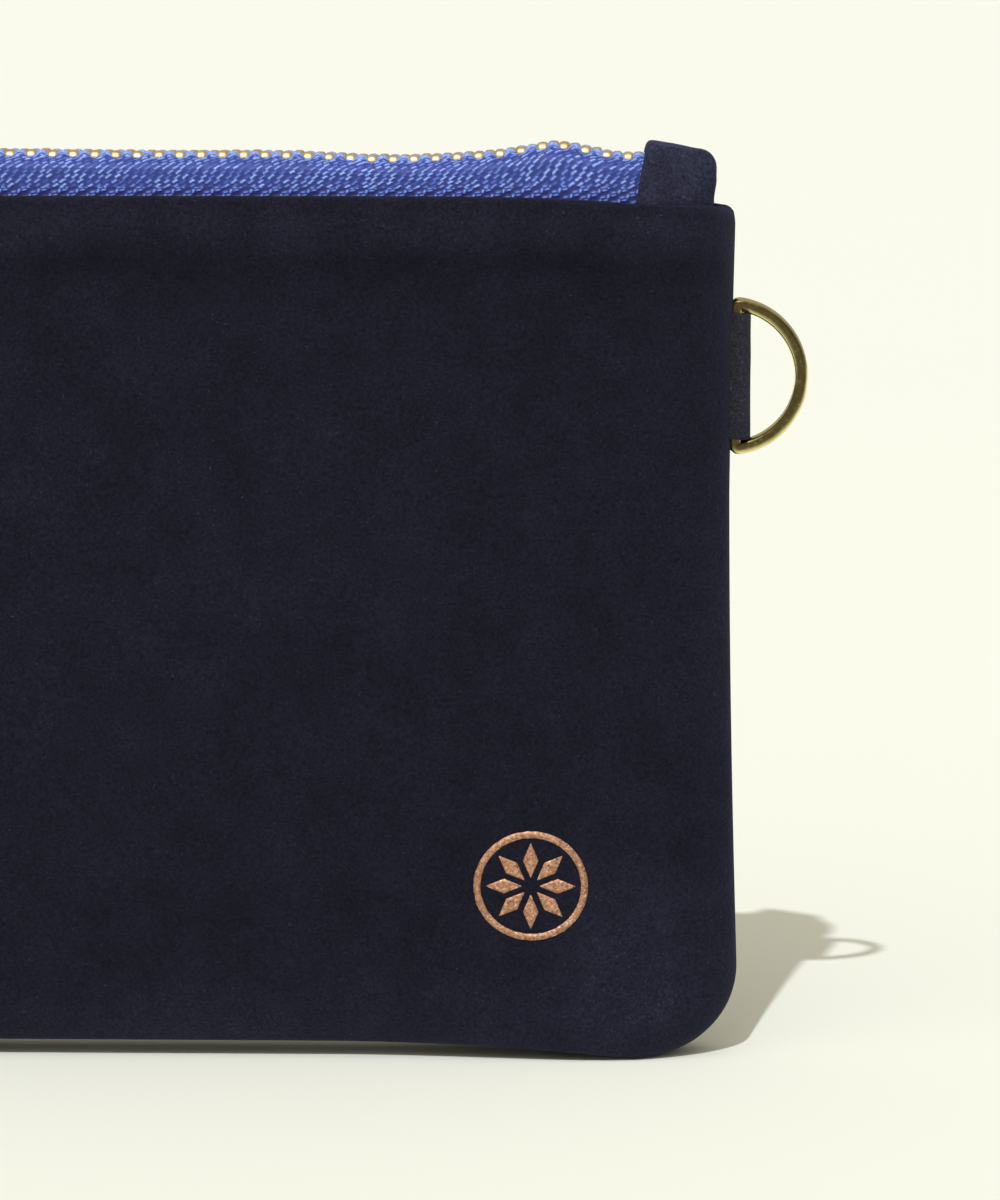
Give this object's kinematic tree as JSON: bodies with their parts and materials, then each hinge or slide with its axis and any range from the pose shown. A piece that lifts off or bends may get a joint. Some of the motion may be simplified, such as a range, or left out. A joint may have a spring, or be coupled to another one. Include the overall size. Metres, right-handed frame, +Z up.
{
  "type": "zippered pouch",
  "caption": "Flat zippered pouch in navy suede leather, with a metal-tooth zip along the top, leather end tabs, a side D-ring on a leather loop and a foil rosette.",
  "frame": {"origin": "on the ground, under the middle of the leather body", "axes": "+Z up, +X along the zip towards the D-ring side, -Y out of the front with the foil emblem"},
  "size_m": [0.1585, 0.018, 0.1091],
  "materials": {
    "suede": "navy nubuck with a short mottled nap",
    "smooth_leather": "navy leather, slightly smoother than the body",
    "loop_leather": "dark navy leather with a cut edge",
    "lining": "plain woven lining, colour guessed",
    "thread": "polyester sewing thread",
    "foil": "grainy rose-gold foil",
    "zip_tape": "cobalt blue twill zip tape",
    "zip_metal": "polished gold-tone zip teeth",
    "slider_metal": "polished gold-tone casting",
    "spring_steel": "flat spring strip",
    "ring_metal": "gold-tone wire with an aged tint"
  },
  "bodies": {
    "body": {"front_panel": "suede", "back_panel": "suede", "lining_front": "lining", "lining_back": "lining", "body_seam_thread": "thread", "foil_emblem": "foil", "top_stops": "zip_metal", "bottom_stop": "zip_metal", "end_tab_right": "smooth_leather", "end_tab_left": "smooth_leather", "ring_loop": "loop_leather"},
    "front_mouth": {"zipper_tape_front": "zip_tape", "bead_cord_front": "zip_tape", "teeth_front": "zip_metal", "zip_seam_thread_front": "thread"},
    "back_mouth": {"zipper_tape_back": "zip_tape", "bead_cord_back": "zip_tape", "teeth_back": "zip_metal", "zip_seam_thread_back": "thread"},
    "slider": {"slider_body": "slider_metal", "slider_crown": "slider_metal", "lock_spring": "spring_steel"},
    "pull": {"pull_tab": "slider_metal"},
    "ring": {"d_ring": "ring_metal"}
  },
  "joints": [
    {"name": "slider_slide", "type": "slide", "parent": "body", "child": "slider", "axis": [1, 0, 0], "range_m": [0, 0.116], "deforming": ["zipper_tape_front", "bead_cord_front", "teeth_front", "zip_seam_thread_front", "zipper_tape_back", "bead_cord_back", "teeth_back", "zip_seam_thread_back"]},
    {"name": "front_mouth_open", "type": "slide", "parent": "body", "child": "front_mouth", "axis": [0, -1, 0], "range_m": [0, 0.0085]},
    {"name": "back_mouth_open", "type": "slide", "parent": "body", "child": "back_mouth", "axis": [0, 1, 0], "range_m": [0, 0.0085]},
    {"name": "pull_swing", "type": "hinge", "parent": "slider", "child": "pull", "pos_m": [-0.0582, 0, 0.10745], "axis": [0, -1, 0], "range_deg": [0, 172]},
    {"name": "ring_swing", "type": "hinge", "parent": "body", "child": "ring", "pos_m": [0.0751, 0, 0.0794], "axis": [0, 0, 1], "range_deg": [-70, 70]}
  ],
  "couplings": [
    {"joint": "front_mouth_open", "follows": "slider_slide", "ratio": 0.073},
    {"joint": "back_mouth_open", "follows": "slider_slide", "ratio": 0.073}
  ]
}
